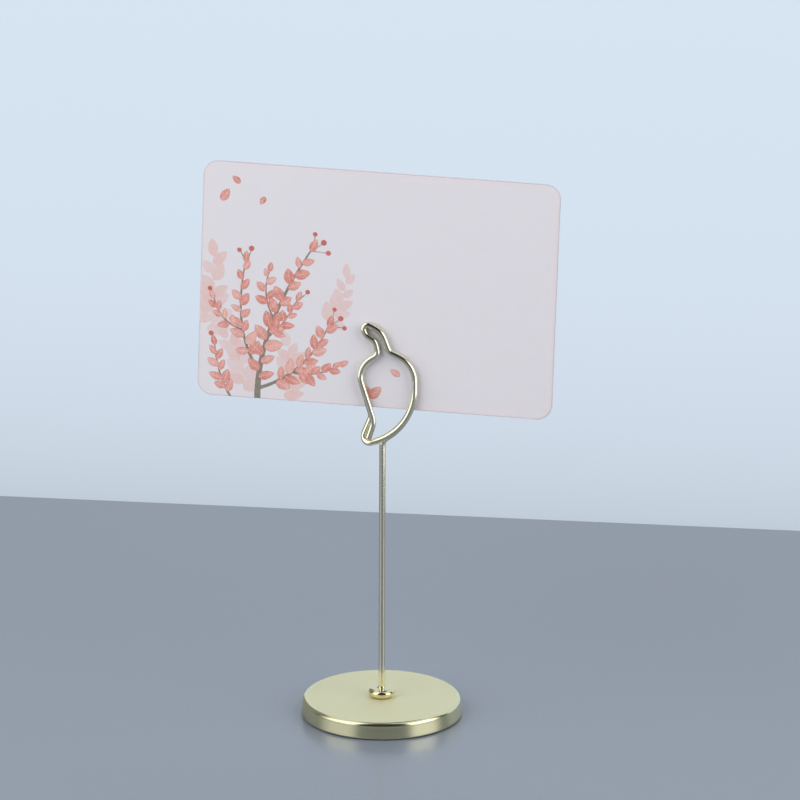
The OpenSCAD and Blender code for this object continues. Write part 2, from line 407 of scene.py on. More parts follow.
# %% [markdown]
# ## The card
#
# The card is thick paper, embossed with a fine linen grain by a roller, printed, and die-cut with
# rounded corners. Its face is a net of fine rows, each as wide as the card is at that height, so the
# round corners come out of the rows' ends. A narrow band with softened edges carries the face's
# outline round to the back.
#
# The print is a spray of small leaves and berries in coral and grey-brown. For each point of the
# net, a signed distance in millimetres says how far it lies outside a printed shape, and the finish
# turns that into a crisp edge, sharper than the net itself.

# %% The card's place and size
CARD_W, CARD_H, CARD_T, CORNER_R = 88, 60.5, 0.35, 3.8
CARD_TILT = np.radians(1.8)
# Its middle stands 1 mm left of the stem, and its foot 21.6 mm below the clip's top
CARD_X, CARD_GRIP = -1, 21.6
CARD_MIDDLE = np.array([CARD_X, FRONT_Y / 2, PEPPER_Z + PEPPER_H - CARD_GRIP + CARD_H / 2])
EDGE_SOFT = 0.05


def stood_up(across, up, depth):
    """Points of the card from its own sheet, measured from its middle, to where it stands: turned
    clockwise by the tilt as seen from the front."""
    x = across * np.cos(CARD_TILT) + up * np.sin(CARD_TILT)
    z = -across * np.sin(CARD_TILT) + up * np.cos(CARD_TILT)
    return np.stack([x, np.broadcast_to(depth, x.shape), z], -1) + CARD_MIDDLE


CORNER_ROWS, FLAT_ROWS = 14, 178
corner_in = CORNER_R - EDGE_SOFT
# Half the width and the height between the corners' middles
flat_w, flat_h = CARD_W / 2 - CORNER_R, CARD_H / 2 - CORNER_R
corner_rows = flat_h + corner_in * np.sin(np.radians(np.linspace(90, 0, CORNER_ROWS)))
flat_rows = np.linspace(flat_h, -flat_h, FLAT_ROWS)[1:-1]
row_z = np.concatenate([corner_rows, flat_rows, -corner_rows[::-1]])
over = np.clip(np.abs(row_z) - flat_h, 0, corner_in)
row_half_width = flat_w + np.sqrt(corner_in ** 2 - over ** 2)
# Columns stand closer together over the left part, which carries the print
PRINT_END, PRINT_COLS, PLAIN_COLS = 0.28, 265, 37
print_cols = np.linspace(-1, PRINT_END, PRINT_COLS)
plain_cols = np.linspace(PRINT_END, 1, PLAIN_COLS)[1:]
sheet_x = row_half_width[:, None] * np.concatenate([print_cols, plain_cols])
sheet_z = np.broadcast_to(row_z[:, None], sheet_x.shape)
print("card face", sheet_x.shape, "rows and columns")

# %% [markdown]
# ### The spray of leaves
#
# Small pointed leaves stand along curved twigs, now on one side and now on the other. The spray
# leans up to the right from the lower left of the card, with paler leaves behind it and a few loose
# ones round it, in colours and at a scale that suit a wedding or tea table.

# %% Distances to the printed shapes
print_x = sheet_x + CARD_W / 2
print_z = sheet_z + CARD_H / 2
FAR_OFF = 9.0
# The greatest value of s^0.6 (1 - s)^0.85, so that a leaf is as wide as its width says
WIDEST = 0.374


def leaf_form(x, z, at, length, width, turn, bow):
    """Signed distance to a leaf's edge, and millimetres along it and across it, for points. Its half
    width at the share s of its length is width / 2 * s^0.6 (1 - s)^0.85 / WIDEST, and its middle
    line is bowed sideways by bow * s^2."""
    c, n = np.cos(turn), np.sin(turn)
    along = (x - at[0]) * c + (z - at[1]) * n
    share = along / length
    across = (z - at[1]) * c - (x - at[0]) * n - bow * share ** 2
    inside = np.clip(share, 0, 1)
    half = width / 2 * inside ** 0.6 * (1 - inside) ** 0.85 / WIDEST
    past = np.maximum(-share, share - 1) * length
    return np.where(past > 0, np.hypot(across, past), np.abs(across) - half), along, across


def stem_line(p, q, s, count=40):
    """A stem's bow from p to s, pulled towards q: (1 - t)^2 p + 2 t (1 - t) q + t^2 s."""
    t = np.linspace(0, 1, count)[:, None]
    return (1 - t) ** 2 * np.array(p) + 2 * t * (1 - t) * np.array(q) + t ** 2 * np.array(s)


def stem_distance(x, z, line, thick, thin):
    """Signed distance of points to a stem that tapers from thick to thin."""
    nearest = np.full(x.shape, np.inf)
    for a, b, w in zip(line[:-1], line[1:], np.linspace(thick, thin, len(line)) / 2):
        d = b - a
        t = np.clip(((x - a[0]) * d[0] + (z - a[1]) * d[1]) / (d @ d), 0, 1)
        nearest = np.minimum(nearest, np.hypot(x - a[0] - t * d[0], z - a[1] - t * d[1]) - w)
    return nearest


# %% Laying out the spray
rng = np.random.default_rng(12)
# Each sprig: its foot, pull point and tip, thickness at foot and tip, number and length of leaves
SPRIGS = [
    [(15, -1), (14, 17), (27, 39), 1.6, 0.4, 17, 4.7],
    [(15.2, 7), (8, 17), (11, 35), 0.85, 0.34, 13, 4.0],
    [(14.9, 2.6), (27, 7), (32, 20), 0.9, 0.34, 13, 4.2],
    [(16.9, 16), (21, 19), (24, 26), 0.5, 0.3, 7, 3.6],
    [(18.4, 21), (15, 27), (17, 33), 0.5, 0.3, 6, 3.4],
    [(10.8, 17.5), (5, 19), (3.5, 25), 0.5, 0.3, 6, 3.3],
    [(23.4, 7.5), (28, 6), (35, 10), 0.55, 0.3, 8, 3.6],
    [(9, -1), (5, 4), (4, 13), 0.6, 0.3, 8, 3.6],
]
GHOST_SPRIGS = [
    [(1, 14), (4, 22), (3, 36), 0.35, 0.2, 11, 6.0],
    [(20, -1), (25, 5), (22, 14), 0.35, 0.2, 9, 6.0],
    [(29, 19), (36, 23), (36, 33), 0.3, 0.2, 9, 4.8],
    [(11, -1), (13, 8), (7, 15), 0.35, 0.2, 9, 5.6],
]
# Single leaves, as x, z, length, turn: three above, and three that have come down by the clip
LOOSE_LEAVES = [
    (4.5, 50.5, 3.6, 0.9), (9.0, 55.0, 2.6, 2.2), (15.5, 52.0, 2.4, 4.0),
    (42.6, 2.4, 4.2, 0.7), (42.8, 2.6, 3.4, 2.0), (50.0, 8.4, 2.8, 2.4)]
# The share of leaves that are paler, and by how much. A leaf hides what is this close to its edge
PALE_SHARE, PALER_BY, OVERLAP = 0.22, 0.35, 0.1


def lay_leaves(sprigs):
    """Leaves and stems of the sprigs. A leaf is its foot, length, width, turn and bow. Leaves start a
    fifth of the way up, and get smaller and closer to the stem towards its tip, which ends in one."""
    leaves, stems = [], []
    for p, q, s, thick, thin, count, length in sprigs:
        line = stem_line(p, q, s)
        last = len(line) - 1
        stems.append((line, thick, thin))
        for k in range(count):
            t = 0.2 + 0.8 * (k + rng.uniform(-0.25, 0.25)) / count
            here = int(t * last)
            step = line[min(here + 1, last)] - line[here - 1]
            heading = np.arctan2(step[1], step[0])
            side = 1 if k % 2 else -1
            spread = side * (1.1 - 0.45 * t + rng.uniform(-0.22, 0.22))
            size = length * (1.08 - 0.35 * t) * rng.uniform(0.8, 1.12)
            width = size * rng.uniform(0.52, 0.66)
            leaves.append((line[here], size, width, heading + spread, -side * rng.uniform(0, 0.5)))
        leaves.append((line[-1], length * 0.75, length * 0.42, heading, 0.2))
    return leaves, stems


def printed(leaves, stems):
    """For each point of the net: the distance to the nearest leaf's edge and to the nearest stem, and
    from the leaf that lies on top there its tone, its own edge's distance, and the place along and
    across it. Leaves are darker at their foot, and some are paler all over."""
    names = ("leaf", "stem", "top", "along", "across")
    fields = {key: np.full(print_x.shape, FAR_OFF) for key in names}
    fields["tone"] = np.full(print_x.shape, 0.5)
    for stem in stems:
        fields["stem"] = np.minimum(fields["stem"], stem_distance(print_x, print_z, *stem))
    for at, length, width, turn, bow in leaves:
        d, along, across = leaf_form(print_x, print_z, at, length, width, turn, bow)
        inside = d < OVERLAP
        shade = rng.uniform(-0.2, 0.2) + (PALER_BY if rng.random() < PALE_SHARE else 0)
        fields["tone"] = np.where(inside, 0.3 + shade + 0.4 * along / length, fields["tone"])
        for key, values in (("top", d), ("along", along), ("across", across)):
            fields[key] = np.where(inside, values, fields[key])
        fields["leaf"] = np.minimum(fields["leaf"], d)
    return fields


sprig_leaves, sprig_stems = lay_leaves(SPRIGS)
sprig_leaves += [((x, z), size, size * 0.62, turn, 0.3) for x, z, size, turn in LOOSE_LEAVES]
spray = printed(sprig_leaves, sprig_stems)
ghost_leaves, ghost_stems = lay_leaves(GHOST_SPRIGS)
ghost = printed(ghost_leaves, ghost_stems)
print(len(sprig_leaves), "leaves,", len(ghost_leaves), "paler ones")


# %% Berries
# Each berry: its middle, its radius and the root of its twig
BERRIES = [
    (30.2, 41.4, 0.75, 27, 39), (31.4, 38.8, 0.65, 27, 39), (28.0, 43.4, 0.6, 27, 39),
    (12.4, 38.6, 0.7, 11, 35), (9.4, 38.0, 0.6, 11, 35),
    (35.0, 22.2, 0.7, 32, 20), (36.0, 19.8, 0.6, 32, 20), (33.4, 24.4, 0.55, 32, 20),
    (26.6, 28.4, 0.6, 24, 26), (2.4, 27.6, 0.6, 3.5, 25), (3.0, 16.0, 0.65, 4, 13),
]
TWIG_THICK, TWIG_THIN, TWIG_BOW, TWIG_POINTS = 0.32, 0.24, 0.4, 8
berry_d = np.full(print_x.shape, FAR_OFF)
for x, z, r, root_x, root_z in BERRIES:
    berry_d = np.minimum(berry_d, np.hypot(print_x - x, print_z - z) - r)
    pull = ((x + root_x) / 2 + TWIG_BOW, (z + root_z) / 2)
    twig = stem_line((root_x, root_z), pull, (x, z), TWIG_POINTS)
    twig_d = stem_distance(print_x, print_z, twig, TWIG_THICK, TWIG_THIN)
    spray["stem"] = np.minimum(spray["stem"], twig_d)
print(len(BERRIES), "berries")

# %% The card's skin
# The rings of the band, as millimetres out from the face's outline and shares of the thickness
BAND = [(0.035, -0.45), (EDGE_SOFT, -0.34), (EDGE_SOFT, 0.34), (0.035, 0.45), (0, 0.5)]
rows, cols = sheet_x.shape
number = np.arange(rows * cols).reshape(rows, cols)
rim = np.concatenate([number[0, :-1], number[:-1, -1], number[-1, :0:-1], number[:0:-1, 0]])
rim_x, rim_z = sheet_x.ravel()[rim], sheet_z.ravel()[rim]
away = np.stack([rim_x - np.clip(rim_x, -flat_w, flat_w), rim_z - np.clip(rim_z, -flat_h, flat_h)])
away /= np.linalg.norm(away, axis=0)
card_points = [stood_up(sheet_x, sheet_z, -CARD_T / 2).reshape(-1, 3)]
for out_by, depth in BAND:
    card_points.append(stood_up(rim_x + away[0] * out_by, rim_z + away[1] * out_by, depth * CARD_T))
rings, around = len(BAND), len(rim)
band_numbers = rows * cols + np.arange(rings * around).reshape(rings, around)
strip = grid_faces(rings + 1, around, wrap_cols=True)[:, ::-1]
strip = np.concatenate([rim, band_numbers.ravel()])[strip]


def on_face(values, elsewhere=FAR_OFF):
    """Values on the face's points, and a constant on the band and the back."""
    return np.concatenate([values.ravel(), np.full(rings * around, elsewhere)])


past_flat = np.maximum(np.abs(sheet_x) - flat_w, 0), np.maximum(np.abs(sheet_z) - flat_h, 0)
card = make_piece(
    "card",
    np.concatenate(card_points),
    [grid_faces(rows, cols), strip, band_numbers[-1:]],
    {
        **{key: on_face(values) for key, values in spray.items()},
        "berry": on_face(berry_d),
        "ghost": on_face(ghost["leaf"]),
        "ghost_tone": on_face(ghost["tone"], 0.5),
        "rim": on_face(corner_in - np.hypot(*past_flat), 0.0),
        "sheet": np.concatenate([
            np.column_stack([sheet_x.ravel(), sheet_z.ravel(), np.zeros(rows * cols)]),
            np.column_stack([np.tile(rim_x, rings), np.tile(rim_z, rings), np.ones(rings * around)]),
        ]),
    },
    sharp_deg=30,
)
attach(card, "card")
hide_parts("place_card")

# %% [markdown]
# ## Finishes
#
# The metal that shows is steel, polished and electroplated in a pale champagne gold. Polishing
# leaves soft hair lines along the wire and round the turned parts, and the plating bath leaves a
# very slight drift of colour. The flat top of the base was left satin, so it shows no mirror image.

# %% Champagne gold on the wire
# Nearly all values of a noise lie between these two
NOISE_SPAN = {"From Min": 0.3, "From Max": 0.7}

gold_wire, tree = new_finish("champagne_gold_electroplate_on_drawn_wire")
# Places are in millimetres, on the wire as it was before bending
unbent = add(tree, "Attribute", attribute_name="straight").outputs["Vector"]
# The bath's drift of colour, about 10 mm long
drift = add(tree, "TexNoise", {"Vector": unbent, "Scale": 0.1, "Detail": 2.0})
plate = add(tree, "Mix", {0: drift, 6: linear("#F0EDD8"), 7: linear("#ECE5C8")}, data_type="RGBA")
# Drawing lines: 0.25 mm across, as coarse as shows here, and some 8 mm long
lines_at = add(tree, "Mapping", {"Vector": unbent, "Scale": (4.0, 4.0, 0.12)})
drawn = add(tree, "TexNoise", {"Vector": lines_at, "Scale": 1.0, "Detail": 3.0})
soft = add(tree, "MapRange", {"Value": drawn, **NOISE_SPAN, "To Min": 0.13, "To Max": 0.22})
lines = add(tree, "Bump", {"Height": drawn, "Strength": 0.12, "Distance": 0.02 * MM})
surface(tree, add(tree, "BsdfPrincipled", {
    "Base Color": plate, "Metallic": 1.0, "Roughness": soft, "Normal": lines}))
wire_clip.data.materials.append(gold_wire)

# %% Champagne gold on the base
gold_base, tree = new_finish("champagne_gold_electroplate_on_pressed_steel")
place = add(tree, "TexCoord").outputs["Object"]
in_mm = add(tree, "Mapping", {"Vector": place, "Scale": (1000, 1000, 1000)})
satin = add(tree, "Attribute", attribute_name="satin").outputs["Fac"]
drift = add(tree, "TexNoise", {"Vector": in_mm, "Scale": 0.06, "Detail": 2.0})
# The satin top is coloured paler and cooler than the polished wall: partly its blasted grain, and
# partly painted light, the pale light it catches from above
polished = add(tree, "Mix", {0: drift, 6: linear("#F0EBC4"), 7: linear("#EBE5B8")}, data_type="RGBA")
blasted_and_lit_paler = add(tree, "Mix", {0: drift, 6: linear("#FAF7D9"), 7: linear("#F7F3D0")}, data_type="RGBA")
plate = add(tree, "Mix", {0: satin, 6: polished, 7: blasted_and_lit_paler}, data_type="RGBA")
# The satin top has a fine blasted grain, 0.3 mm as coarse as shows here. The polished wall keeps
# faint hair lines round the base from the buffing wheel
grain = add(tree, "TexNoise", {"Vector": in_mm, "Scale": 3.2, "Detail": 4.0})
hair_at = add(tree, "Mapping", {"Vector": in_mm, "Scale": (0.15, 0.15, 6.0)})
hair = add(tree, "TexNoise", {"Vector": hair_at, "Scale": 1.0, "Detail": 3.0})
texture = add(tree, "Mix", {0: satin, 2: hair, 3: grain}, data_type="FLOAT")
rough_wall = add(tree, "MapRange", {"Value": hair, **NOISE_SPAN, "To Min": 0.15, "To Max": 0.175})
# The wheel reaches the shoulder best, and leaves the wall below it duller
DULL_BELOW, BRIGHT_ABOVE = BASE_H - 1.2, BASE_H - 0.6
height = add(tree, "SeparateXYZ", {"Vector": in_mm}).outputs["Z"]
duller = add(tree, "MapRange", {
    "Value": height, "From Min": DULL_BELOW, "From Max": BRIGHT_ABOVE, "To Min": 1.5, "To Max": 1.0})
rough_wall = add(tree, "Math", {0: rough_wall, 1: duller}, operation="MULTIPLY")
rough_top = add(tree, "MapRange", {"Value": grain, **NOISE_SPAN, "To Min": 0.7, "To Max": 0.78})
soft = add(tree, "Mix", {0: satin, 2: rough_wall, 3: rough_top}, data_type="FLOAT")
relief = add(tree, "Bump", {"Height": texture, "Strength": 0.1, "Distance": 0.03 * MM})
# The grain's steep little sides pass some light on evenly, so the satin top is not all mirror
mirror = add(tree, "MapRange", {"Value": satin, "To Min": 1.0, "To Max": 0.95})
surface(tree, add(tree, "BsdfPrincipled", {
    "Base Color": plate, "Metallic": mirror, "Roughness": soft, "Normal": relief}))
base_shell.data.materials.append(gold_base)

# %% Champagne gold on the collar
gold_collar, tree = new_finish("champagne_gold_electroplate_on_turned_steel")
place = add(tree, "TexCoord").outputs["Object"]
# Turning marks: rings 0.2 mm apart in height, all but polished away
marks_at = add(tree, "Mapping", {"Vector": place, "Scale": (150, 150, 5000)})
marks = add(tree, "TexNoise", {"Vector": marks_at, "Scale": 1.0, "Detail": 2.0})
plate = add(tree, "Mix", {0: marks, 6: linear("#F0E7C2"), 7: linear("#EADFB0")}, data_type="RGBA")
soft = add(tree, "MapRange", {"Value": marks, **NOISE_SPAN, "To Min": 0.08, "To Max": 0.13})
relief = add(tree, "Bump", {"Height": marks, "Strength": 0.06, "Distance": 0.02 * MM})
surface(tree, add(tree, "BsdfPrincipled", {
    "Base Color": plate, "Metallic": 1.0, "Roughness": soft, "Normal": relief}))
foot_collar.data.materials.append(gold_collar)

# %% [markdown]
# Thick paper scatters nearly all light and is dull. The print lies in it without gloss, a little
# uneven, as water colour is. One ink after the other is laid over the ground, each with a mask that
# changes over 0.1 to 0.25 mm at its distance 0.

# %% Inks on paper
def water_colour(tree, tone, uneven, dark, pale):
    """An ink between its dark and its pale strength, by a tone that the uneven wash shifts."""
    tone = add(tree, "Math", {0: tone, 1: uneven}, operation="ADD")
    return add(tree, "Mix", {0: tone, 6: linear(dark), 7: linear(pale)}, data_type="RGBA")


def ink_over(tree, ground, ink, distance, soft, share=1.0):
    """The ground with that share of an ink laid over it wherever the distance is below 0."""
    mask = add(tree, "MapRange", {
        "Value": distance, "From Min": soft / 2, "From Max": -soft / 2, "To Max": share})
    return add(tree, "Mix", {0: mask, 6: ground, 7: ink}, data_type="RGBA")


# %% Linen paper with a printed spray
paper, tree = new_finish("linen_embossed_card_offset_printed")
sheet = add(tree, "Attribute", attribute_name="sheet").outputs["Vector"]
net = {key: add(tree, "Attribute", attribute_name=key).outputs["Fac"] for key in (
    "leaf", "stem", "berry", "ghost", "top", "along", "across", "tone", "ghost_tone", "rim")}
fibre = add(tree, "TexNoise", {"Vector": sheet, "Scale": 2.2, "Detail": 5.0})
wash = add(tree, "TexNoise", {"Vector": sheet, "Scale": 0.9, "Detail": 4.0})
ground = add(tree, "Mix", {0: fibre, 6: linear("#DBD7DC"), 7: linear("#D7D3D8")}, data_type="RGBA")
# A breath of peach from the cut edge inward, over 2 mm and uneven
peach = add(tree, "MapRange", {
    "Value": net["rim"], "From Min": 2.0, "From Max": 0.0, "To Max": 0.35})
peach = add(tree, "Math", {0: peach, 1: wash}, operation="MULTIPLY")
ground = add(tree, "Mix", {0: peach, 6: ground, 7: linear("#E3C9BF")}, data_type="RGBA")
# Painted shade: a grey line over the last 0.15 mm of the cut edge, which the cutter presses down,
# stands in for the shade that edge is in
painted_edge_shade = add(tree, "MapRange", {
    "Value": net["rim"], "From Min": 0.25, "From Max": 0.05, "To Max": 0.6})
ground = add(tree, "Mix", {0: painted_edge_shade, 6: ground, 7: linear("#A9A4AC")}, data_type="RGBA")
# Water colour runs unevenly: the wash shifts a tone by up to 0.3, and an edge wanders by 0.1 mm
uneven = add(tree, "MapRange", {"Value": wash, **NOISE_SPAN, "To Min": -0.3, "To Max": 0.3})
wander = add(tree, "MapRange", {"Value": fibre, "To Min": -0.1, "To Max": 0.1})
edge = {key: add(tree, "Math", {0: net[key], 1: wander}, operation="ADD")
        for key in ("leaf", "stem", "ghost")}

ghost_ink = water_colour(tree, net["ghost_tone"], uneven, "#DAB9B4", "#D9C7C8")
stem_ink = water_colour(tree, wash, 0.0, "#6F6A60", "#918B80")
ground = ink_over(tree, ground, ghost_ink, edge["ghost"], 0.2)
ground = ink_over(tree, ground, stem_ink, edge["stem"], 0.12)

leaf_ink = water_colour(tree, net["tone"], uneven, "#C47163", "#DCAAA1")
# Colour gathers in the last 0.25 mm at a leaf's edge, and the rib and its side veins are left pale
from_edge = add(tree, "Math", {0: -0.12, 1: net["top"]}, operation="SUBTRACT")
leaf_ink = ink_over(tree, leaf_ink, linear("#B5635A"), from_edge, 0.25, 0.45)
off_rib = add(tree, "Math", {0: net["across"]}, operation="ABSOLUTE")
from_rib = add(tree, "Math", {0: off_rib, 1: 0.07}, operation="SUBTRACT")
# The veins are crests of the wave sin(7 along - 6 |across|), so they slant away from the rib
slant = add(tree, "Math", {0: off_rib, 1: -6.0}, operation="MULTIPLY")
slant = add(tree, "Math", {0: net["along"], 1: 7.0, 2: slant}, operation="MULTIPLY_ADD")
crest = add(tree, "Math", {0: slant}, operation="SINE")
from_vein = add(tree, "Math", {0: 0.86, 1: crest}, operation="SUBTRACT")
leaf_ink = ink_over(tree, leaf_ink, linear("#F2CAC3"), from_vein, 0.2, 0.2)
leaf_ink = ink_over(tree, leaf_ink, linear("#F2CAC3"), from_rib, 0.12, 0.5)
berry_ink = water_colour(tree, wash, 0.0, "#AE544D", "#CE7D73")
ground = ink_over(tree, ground, leaf_ink, edge["leaf"], 0.1)
ground = ink_over(tree, ground, berry_ink, net["berry"], 0.1)

# The linen roller: two sets of ribs crossing at right angles, 0.5 mm apart, broken up by noise
ribs = []
for turn in (0.0, 90.0):
    at = add(tree, "Mapping", {"Vector": sheet, "Rotation": (0, 0, np.radians(turn))})
    wave = add(tree, "TexWave", {
        "Vector": at, "Scale": 0.63, "Distortion": 1.2, "Detail": 1.0, "Detail Scale": 1.5})
    ribs.append(wave.outputs["Fac"])
weave = add(tree, "Math", {0: ribs[0], 1: ribs[1]}, operation="MULTIPLY")
relief = add(tree, "Math", {0: weave, 1: fibre}, operation="ADD")
emboss = add(tree, "Bump", {"Height": relief, "Strength": 0.25, "Distance": 0.06 * MM})
surface(tree, add(tree, "BsdfPrincipled", {
    "Base Color": ground, "Roughness": 0.72, "Specular IOR Level": 0.35, "Normal": emboss}))
card.data.materials.append(paper)

# %% [markdown]
# ## Parts under the base
#
# These are only seen from below or when the holder is taken apart. The weight is a rough iron
# casting, the washer and nut are zinc plated, and the pad is matt rubber. Their solids already have
# the right shape, so the model's own meshes stay, with a finish in their slots.

# %% Cast iron
def finish_node(node_name, material):
    """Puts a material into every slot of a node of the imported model."""
    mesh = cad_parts[node_name].data
    if not mesh.materials:
        mesh.materials.append(material)
    for k in range(len(mesh.materials)):
        mesh.materials[k] = material


cast, tree = new_finish("sand_cast_iron")
place = add(tree, "TexCoord").outputs["Object"]
# Sand grains of about 0.4 mm leave a pitted skin, with faint rust where it was handled
sand = add(tree, "TexNoise", {"Vector": place, "Scale": 2500.0, "Detail": 5.0})
patches = add(tree, "TexNoise", {"Vector": place, "Scale": 180.0, "Detail": 3.0})
rust = add(tree, "MapRange", {"Value": patches, "From Min": 0.55, "From Max": 0.75, "To Max": 0.5})
skin = add(tree, "Mix", {0: rust, 6: linear("#3E3D3C"), 7: linear("#5A4638")}, data_type="RGBA")
pits = add(tree, "Bump", {"Height": sand, "Strength": 0.6, "Distance": 0.1 * MM})
dull = add(tree, "MapRange", {"Value": sand, "To Min": 0.55, "To Max": 0.8})
surface(tree, add(tree, "BsdfPrincipled", {
    "Base Color": skin, "Metallic": 0.85, "Roughness": dull, "Normal": pits}))
finish_node("base_weight", cast)

# %% Zinc
zinc, tree = new_finish("zinc_plated_steel")
place = add(tree, "TexCoord").outputs["Object"]
# Barrel plating leaves fine random scratches and a bluish, slightly cloudy white
cloud = add(tree, "TexNoise", {"Vector": place, "Scale": 700.0, "Detail": 4.0})
skin = add(tree, "Mix", {0: cloud, 6: linear("#C2C8CE"), 7: linear("#A9AEB3")}, data_type="RGBA")
scratches = add(tree, "Bump", {"Height": cloud, "Strength": 0.2, "Distance": 0.03 * MM})
dull = add(tree, "MapRange", {"Value": cloud, "To Min": 0.25, "To Max": 0.42})
surface(tree, add(tree, "BsdfPrincipled", {
    "Base Color": skin, "Metallic": 1.0, "Roughness": dull, "Normal": scratches}))
finish_node("stem_washer", zinc)
finish_node("stem_nut", zinc)

# %% Rubber
rubber, tree = new_finish("die_cut_matt_rubber")
place = add(tree, "TexCoord").outputs["Object"]
# A calendered sheet: fine pores of 0.2 mm and a dusty bloom
pores = add(tree, "TexNoise", {"Vector": place, "Scale": 5000.0, "Detail": 3.0})
bloom = add(tree, "TexNoise", {"Vector": place, "Scale": 120.0, "Detail": 4.0})
skin = add(tree, "Mix", {0: bloom, 6: linear("#1C1C1E"), 7: linear("#333336")}, data_type="RGBA")
dents = add(tree, "Bump", {"Height": pores, "Strength": 0.35, "Distance": 0.05 * MM})
dull = add(tree, "MapRange", {"Value": bloom, "To Min": 0.7, "To Max": 0.9})
surface(tree, add(tree, "BsdfPrincipled", {
    "Base Color": skin, "Roughness": dull, "Normal": dents}))
finish_node("base_pad", rubber)

# %% [markdown]
# ## The set
#
# The holder stands on a plain board near its back edge, in front of a pale, even background. Two
# large soft boxes light it from the left and the right of the camera, and a weaker one opens up the
# shadows from behind.
#
# Polished metal is mostly a picture of what is round it, so the set has four things that are only
# there to be mirrored: a tall white card on the left, a low one on the right, a grey card further
# back on the left, and a dark cloth that hangs behind the camera and up over the set. They glow by
# themselves and are no lamps: painted reflections, which give the wire its bright lines and its dark
# middle.

# %% Board
def stage_mesh(name, points, faces, material):
    """A flat or curved part of the set, with points in metres."""
    mesh = bpy.data.meshes.new(name)
    mesh.from_pydata(np.asarray(points).tolist(), [], np.asarray(faces).tolist())
    mesh.materials.append(material)
    part = bpy.data.objects.new(name, mesh)
    bpy.context.scene.collection.objects.link(part)
    print(name, len(mesh.polygons), "faces")
    return part


# The pixels where the board's back edge leaves the photograph, and the board's size in metres
EDGE_PIXELS = (0, 495.89), (PHOTO_PIXELS, 530.83)
HALF_W, BOARD_DEPTH, BOARD_T = 3, 4, 0.004
edge_left, edge_right = (on_table(pixel) for pixel in EDGE_PIXELS)
along_edge = (edge_right - edge_left) / np.linalg.norm(edge_right - edge_left)
to_front = np.cross(along_edge, [0, 0, 1])
edge_middle = (edge_left + edge_right) / 2
board_top = np.array([
    edge_middle + along_edge * across + to_front * front
    for across, front in ((HALF_W, 0), (-HALF_W, 0), (-HALF_W, BOARD_DEPTH), (HALF_W, BOARD_DEPTH))])

board_finish, tree = new_finish("matt_laminate_board")
place = add(tree, "TexCoord").outputs["Object"]
mottle = add(tree, "TexNoise", {"Vector": place, "Scale": 900.0, "Detail": 3.0})
colour = add(tree, "Mix", {0: mottle, 6: linear("#727A85"), 7: linear("#767E89")}, data_type="RGBA")
surface(tree, add(tree, "BsdfPrincipled", {
    "Base Color": colour, "Roughness": 0.24, "Specular IOR Level": 0.5}))
stage_mesh(
    "board", np.concatenate([board_top, board_top - [0, 0, BOARD_T]]),
    [[0, 1, 2, 3], [7, 6, 5, 4], [0, 4, 5, 1], [1, 5, 6, 2], [2, 6, 7, 3], [3, 7, 4, 0]], board_finish)
print("board's back edge", np.round(edge_middle / MM), "mm from the stem")


# %% Background and room
def plain_where_seen(tree, colour, otherwise):
    """A shader that is one plain colour at strength 1 where the camera, a gloss or a clear body looks
    at it, and otherwise the given shader, for the light that it gives the set."""
    path = add(tree, "LightPath").outputs
    either = add(
        tree, "Math", {0: path["Is Camera Ray"], 1: path["Is Glossy Ray"]}, operation="MAXIMUM")
    seen = add(tree, "Math", {0: either, 1: path["Is Transmission Ray"]}, operation="MAXIMUM")
    flat = add(tree, "Emission", {"Color": colour, "Strength": 1.0})
    return add(tree, "MixShader", {0: seen, 1: otherwise, 2: flat})


WALL = "#D6E3F0"
# Painted shade: the paper ground behind the board is darker next to the board's edge, and grows paler
# over half a metre
FADE_FAR = 0.5
GROUND_SHADE_STEPS = [
    (0.0, "#BAC6D3"), (0.04, "#C3CFDB"), (0.1, "#C9D5E1"), (0.2, "#CFDBE8"),
    (0.35, "#D3DFED"), (0.55, "#D5E2F0"), (1.0, "#D7E4F1")]
ground_finish, tree = new_finish("pale_paper_ground")
place = add(tree, "TexCoord").outputs["Object"]
behind = add(
    tree, "VectorMath", {0: place, 1: tuple(-to_front)}, operation="DOT_PRODUCT").outputs["Value"]
start = float(-to_front @ edge_middle)
behind = add(tree, "MapRange", {"Value": behind, "From Min": start, "From Max": start + FADE_FAR})
ramp = add(tree, "ValToRGB", {"Fac": behind})
while len(ramp.color_ramp.elements) < len(GROUND_SHADE_STEPS):
    ramp.color_ramp.elements.new(1.0)
for element, (at, colour) in zip(ramp.color_ramp.elements, GROUND_SHADE_STEPS):
    element.position, element.color = at, linear(colour)
bounce = add(tree, "BsdfDiffuse", {"Color": linear("#E0E2E4")})
surface(tree, plain_where_seen(tree, ramp, bounce))
# In metres. The ground lies just under the board, and runs far past what the camera sees
FAR_OUT, GROUND_Z = 12, -0.0045
stage_mesh(
    "ground", [(x * FAR_OUT, y * FAR_OUT, GROUND_Z) for x, y in ((-1, -1), (1, -1), (1, 1), (-1, 1))],
    [[0, 1, 2, 3]], ground_finish)

FILL = 0.30
world = bpy.data.worlds.new("pale_room")
world.use_nodes = True
world.node_tree.nodes.clear()
room = add(world.node_tree, "Background", {"Color": linear("#EEEFF1"), "Strength": FILL})
seen_room = plain_where_seen(world.node_tree, linear(WALL), room)
add(world.node_tree, "OutputWorld", {"Surface": seen_room})
bpy.context.scene.world = world


# %% Soft boxes
LAMPS_AIM = np.array([0, 0, 0.05])


